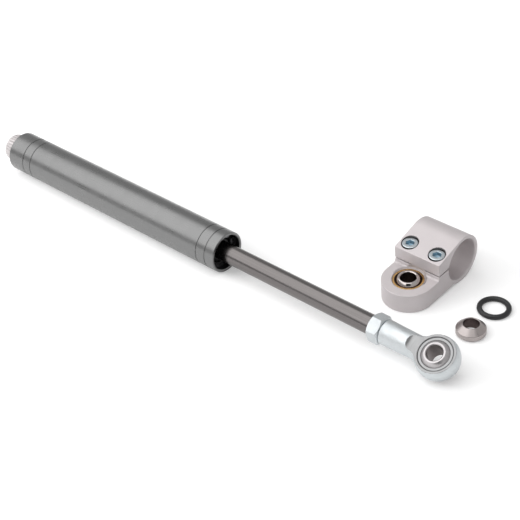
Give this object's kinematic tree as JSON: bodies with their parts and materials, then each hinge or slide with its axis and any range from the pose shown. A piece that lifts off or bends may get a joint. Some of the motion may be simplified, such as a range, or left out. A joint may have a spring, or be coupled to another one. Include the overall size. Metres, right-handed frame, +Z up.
{
  "type": "steering damper",
  "caption": "Tubular steering damper with a sliding rod, a ball-jointed rod end, an adjuster knob, a loose pinch clamp with a spherical bearing, a conical spacer and an O-ring.",
  "frame": {"origin": "on the damper's axis, halfway along its outer tube", "axes": "+X along the damper's axis from the adjuster knob to the rod end; +Z up from the table that the set lies on; the clamp, spacer and O-ring lie towards +Y"},
  "size_m": [0.3091, 0.0895, 0.0262],
  "materials": {
    "tube_titanium": "titanium-grey tube, fine drawn lines along it",
    "inner_steel": "ground steel",
    "foam_black": "closed-cell foam",
    "guide_black": "black anodised",
    "bush_bronze": "sintered bronze",
    "seal_rubber": "smooth seal rubber",
    "circlip_steel": "phosphated spring steel",
    "rod_steel": "ground and polished, faint lengthwise streaks",
    "ring_plastic": "bronze-filled plastic",
    "zinc_steel": "bright bluish zinc plate",
    "race_steel": "bright steel",
    "ball_steel": "polished hard steel",
    "valve_aluminium": "machined",
    "needle_brass": "turned brass",
    "knob_aluminium": "pale silver anodised",
    "screw_steel": "bright zinc plate",
    "ball_chrome": "polished chrome",
    "clamp_aluminium": "bead blasted and clear anodised",
    "race_bronze": "dull golden bronze",
    "spacer_steel": "turned steel",
    "o_ring_rubber": "black rubber, slightly shiny"
  },
  "bodies": {
    "damper_body": {"cylinder_tube": "tube_titanium", "working_tube": "inner_steel", "foam_sleeve": "foam_black", "rod_guide": "guide_black", "guide_bush": "bush_bronze", "rod_seal": "seal_rubber", "rod_wiper": "seal_rubber", "guide_o_ring": "seal_rubber", "front_circlip": "circlip_steel", "rear_circlip": "circlip_steel", "rear_cap": "guide_black", "rear_cap_o_ring": "seal_rubber", "valve_body": "valve_aluminium", "valve_body_o_ring": "seal_rubber", "needle_o_ring": "seal_rubber", "detent_ball": "ball_chrome", "detent_spring": "inner_steel"},
    "piston_ring": {"piston_ring": "ring_plastic"},
    "rod": {"piston_rod": "rod_steel", "piston": "inner_steel", "piston_shims": "inner_steel", "piston_nut": "zinc_steel", "top_out_bumper": "seal_rubber", "lock_nut": "zinc_steel", "rod_end_housing": "zinc_steel", "rod_end_race": "race_steel"},
    "eye_ball": {"rod_end_ball": "ball_steel"},
    "adjuster": {"adjuster_spindle": "inner_steel", "spindle_o_ring": "seal_rubber", "adjuster_knob": "knob_aluminium", "knob_screw": "screw_steel"},
    "needle": {"adjuster_needle": "needle_brass"},
    "clamp": {"clamp_body": "clamp_aluminium", "clamp_screws": "screw_steel", "clamp_bearing_race": "race_bronze"},
    "clamp_ball": {"clamp_bearing_ball": "ball_chrome"},
    "spacer": {"conical_spacer": "spacer_steel"},
    "o_ring": {"loose_o_ring": "o_ring_rubber"}
  },
  "joints": [
    {"name": "rod_slide", "type": "slide", "parent": "damper_body", "child": "piston_ring", "axis": [1, 0, 0], "range_m": [-0.085, 0]},
    {"name": "rod_turn", "type": "hinge", "parent": "piston_ring", "child": "rod", "pos_m": [0, 0, 0], "axis": [1, 0, 0], "continuous": true},
    {"name": "eye_swivel", "type": "hinge", "parent": "rod", "child": "eye_ball", "pos_m": [0.2102, 0, 0], "axis": [0, 0.8763, 0.4818], "range_deg": [-13, 13]},
    {"name": "adjuster_turn", "type": "hinge", "parent": "damper_body", "child": "adjuster", "pos_m": [0, 0, 0], "axis": [1, 0, 0], "range_deg": [-360, 540]},
    {"name": "needle_feed", "type": "slide", "parent": "damper_body", "child": "needle", "axis": [1, 0, 0], "range_m": [-0.0006, 0.0008]},
    {"name": "clamp_lift", "type": "slide", "parent": "damper_body", "child": "clamp", "axis": [0, 0, 1], "range_m": [0, 0.04]},
    {"name": "clamp_swivel", "type": "hinge", "parent": "clamp", "child": "clamp_ball", "pos_m": [0.1648, 0.03895, -0.00268], "axis": [1, 0, 0], "range_deg": [-12, 12]},
    {"name": "spacer_lift", "type": "slide", "parent": "damper_body", "child": "spacer", "axis": [0, 0, 1], "range_m": [0, 0.04]},
    {"name": "o_ring_lift", "type": "slide", "parent": "damper_body", "child": "o_ring", "axis": [0, 0, 1], "range_m": [0, 0.04]}
  ],
  "couplings": [
    {"joint": "needle_feed", "follows": "adjuster_turn", "m_per_rad": 0.000079577}
  ]
}
